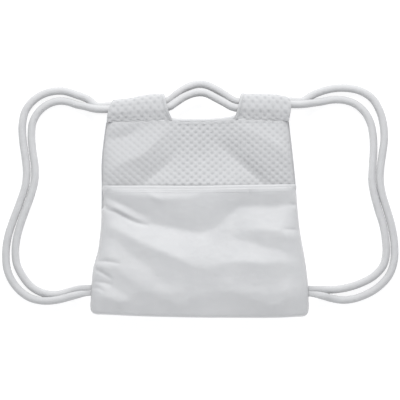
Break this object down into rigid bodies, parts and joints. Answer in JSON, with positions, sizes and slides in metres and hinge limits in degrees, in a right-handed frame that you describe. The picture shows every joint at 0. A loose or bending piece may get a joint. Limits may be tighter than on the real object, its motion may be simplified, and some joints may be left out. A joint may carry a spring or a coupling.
{
  "type": "drawstring backpack",
  "caption": "Flat drawstring sack with a dimpled mesh top, a smooth front pocket, cord shoulder straps sewn to the bottom corners and a cord carry handle across a notch in the mouth.",
  "frame": {"origin": "under the middle of the sewn bag without its cords, on the surface that the bag lies on", "axes": "+Y from the bottom seam to the mouth, +Z out of the front with the pocket, +X across the bag"},
  "size_m": [0.5757, 0.3408, 0.047],
  "materials": {
    "woven_cloth": "smooth satin weave",
    "dimpled_mesh": "matt dimpled knit",
    "seam_tape": "matt woven tape",
    "cord": "soft braided cotton"
  },
  "bodies": {
    "bag": {"back_panel": "woven_cloth", "front_panel": "dimpled_mesh", "front_pocket": "woven_cloth", "pocket_hem": "woven_cloth", "front_left_channel": "dimpled_mesh", "front_right_channel": "dimpled_mesh", "back_left_channel": "dimpled_mesh", "back_right_channel": "dimpled_mesh", "front_notch_binding": "dimpled_mesh", "back_notch_binding": "woven_cloth", "left_side_seam": "seam_tape", "right_side_seam": "seam_tape", "bottom_seam": "seam_tape", "front_left_cord_run": "cord", "front_right_cord_run": "cord", "back_left_cord_run": "cord", "back_right_cord_run": "cord", "left_cord_ends": "cord", "right_cord_ends": "cord"},
    "left_strap": {"left_front_strap_cord": "cord", "left_back_strap_cord": "cord"},
    "right_strap": {"right_front_strap_cord": "cord", "right_back_strap_cord": "cord"},
    "front_handle": {"front_handle_cord": "cord"},
    "back_handle": {"back_handle_cord": "cord"}
  },
  "joints": [
    {"name": "left_strap_swing", "type": "hinge", "parent": "bag", "child": "left_strap", "pos_m": [-0.178, 0.154, 0.0058], "axis": [0.0496, 0.9988, 0], "range_deg": [0, 90]},
    {"name": "right_strap_swing", "type": "hinge", "parent": "bag", "child": "right_strap", "pos_m": [0.178, 0.154, 0.0058], "axis": [0.0496, -0.9988, 0], "range_deg": [0, 90]},
    {"name": "handle_lift", "type": "hinge", "parent": "bag", "child": "front_handle", "pos_m": [0, 0.1415, 0.0273], "axis": [1, 0, 0], "range_deg": [0, 120]},
    {"name": "back_handle_lift", "type": "hinge", "parent": "bag", "child": "back_handle", "pos_m": [0, 0.151, 0.0071], "axis": [1, 0, 0], "range_deg": [0, 120]}
  ],
  "couplings": [
    {"joint": "back_handle_lift", "follows": "handle_lift", "ratio": 1}
  ]
}
